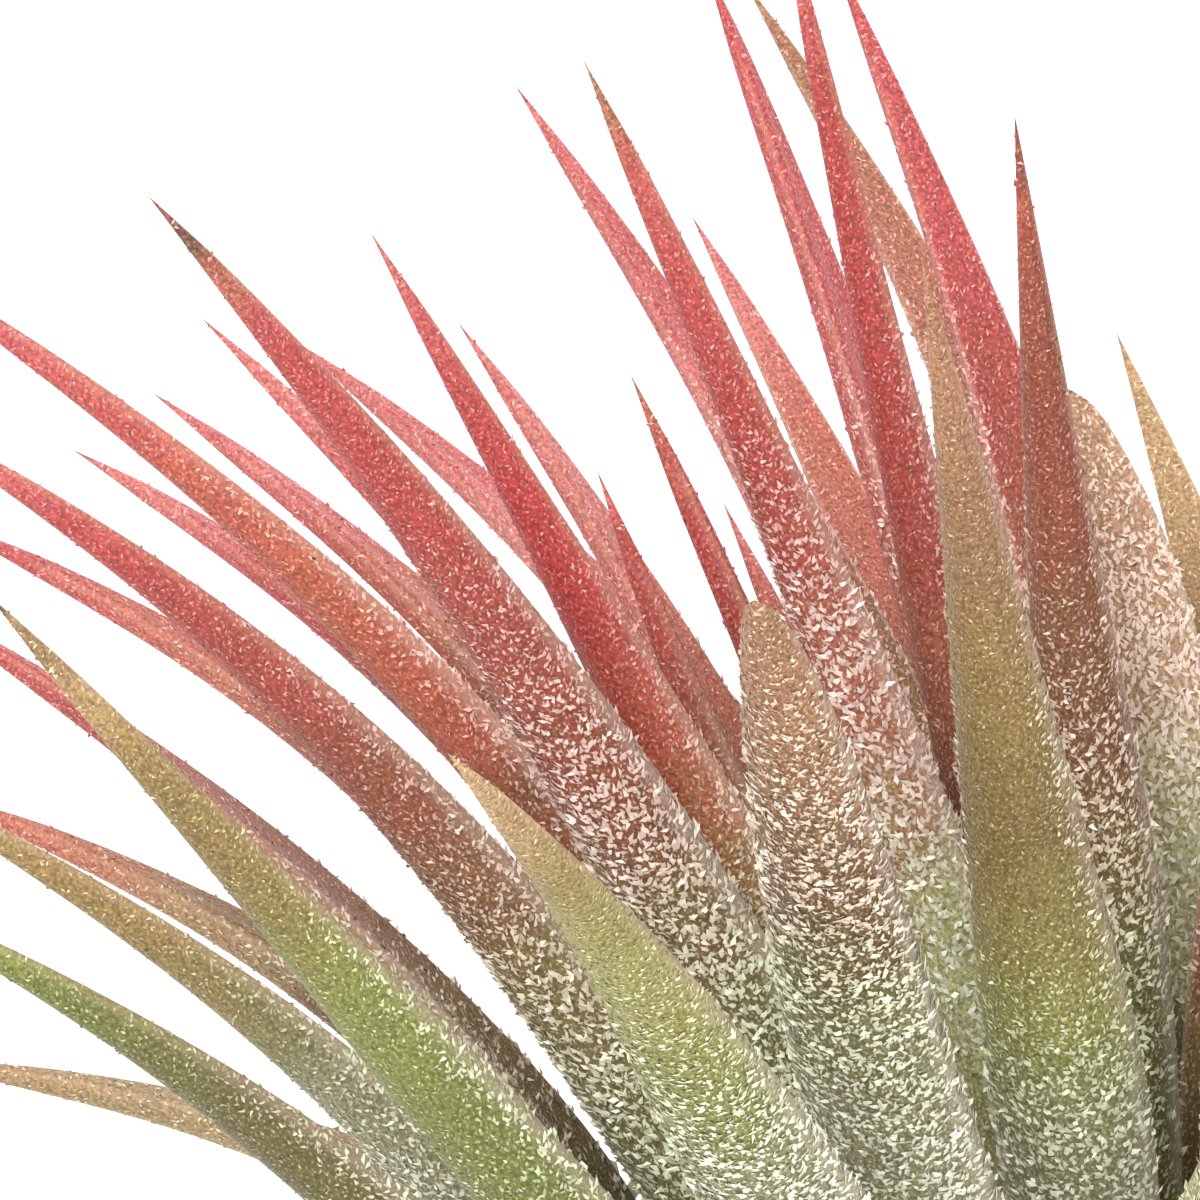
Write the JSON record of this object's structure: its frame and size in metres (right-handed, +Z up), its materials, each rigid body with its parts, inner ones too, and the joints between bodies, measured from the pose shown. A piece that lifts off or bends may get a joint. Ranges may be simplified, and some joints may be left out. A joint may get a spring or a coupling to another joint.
{
  "type": "air plant",
  "caption": "Small air plant as picked: a dense rosette of narrow, channelled, silver-scaled leaves, flushed red inside, whose sheaths make a bulb on a short cut stem.",
  "frame": {"origin": "middle of the stem's flat cut end, on the surface that the plant rests on", "axes": "+Z up along the rosette's axis; the picture looks along +Y, with +X to its right"},
  "size_m": [0.0845, 0.0884, 0.0638],
  "materials": {
    "stem": "dry, dark brown, fibrous",
    "leaf_flushed": "matt, crimson with pale scurfy scales, silver grey at the foot",
    "leaf_green": "matt, olive green with silver scurfy scales, tan at the tip",
    "leaf_oldest": "matt, grey green drying to tan, thickly scaled"
  },
  "bodies": {
    "root": {"stem": "stem", "leaf_01": "leaf_flushed", "leaf_02": "leaf_flushed", "leaf_03": "leaf_flushed", "leaf_04": "leaf_flushed", "leaf_05": "leaf_flushed", "leaf_06": "leaf_flushed", "leaf_07": "leaf_flushed", "leaf_08": "leaf_green", "leaf_09": "leaf_green", "leaf_10": "leaf_green", "leaf_11": "leaf_green", "leaf_12": "leaf_flushed", "leaf_13": "leaf_flushed", "leaf_14": "leaf_flushed", "leaf_15": "leaf_flushed", "leaf_16": "leaf_flushed", "leaf_17": "leaf_flushed", "leaf_18": "leaf_flushed", "leaf_19": "leaf_flushed", "leaf_20": "leaf_green", "leaf_21": "leaf_green", "leaf_22": "leaf_flushed", "leaf_23": "leaf_flushed", "leaf_24": "leaf_flushed", "leaf_25": "leaf_flushed", "leaf_26": "leaf_flushed", "leaf_27": "leaf_flushed", "leaf_28": "leaf_green", "leaf_29": "leaf_green", "leaf_30": "leaf_green", "leaf_31": "leaf_green", "leaf_32": "leaf_green", "leaf_33": "leaf_flushed", "leaf_34": "leaf_flushed", "leaf_35": "leaf_flushed", "leaf_36": "leaf_flushed", "leaf_37": "leaf_flushed", "leaf_38": "leaf_flushed", "leaf_39": "leaf_flushed", "leaf_40": "leaf_flushed", "leaf_41": "leaf_flushed", "leaf_42": "leaf_flushed", "leaf_43": "leaf_flushed", "leaf_44": "leaf_flushed", "leaf_45": "leaf_flushed", "leaf_46": "leaf_green", "leaf_47": "leaf_green", "leaf_48": "leaf_green", "leaf_49": "leaf_green", "leaf_50": "leaf_green", "leaf_51": "leaf_flushed", "leaf_52": "leaf_flushed", "leaf_53": "leaf_flushed", "leaf_54": "leaf_oldest", "leaf_55": "leaf_oldest", "leaf_56": "leaf_oldest", "leaf_57": "leaf_oldest", "leaf_58": "leaf_oldest", "leaf_59": "leaf_oldest"}
  },
  "joints": []
}
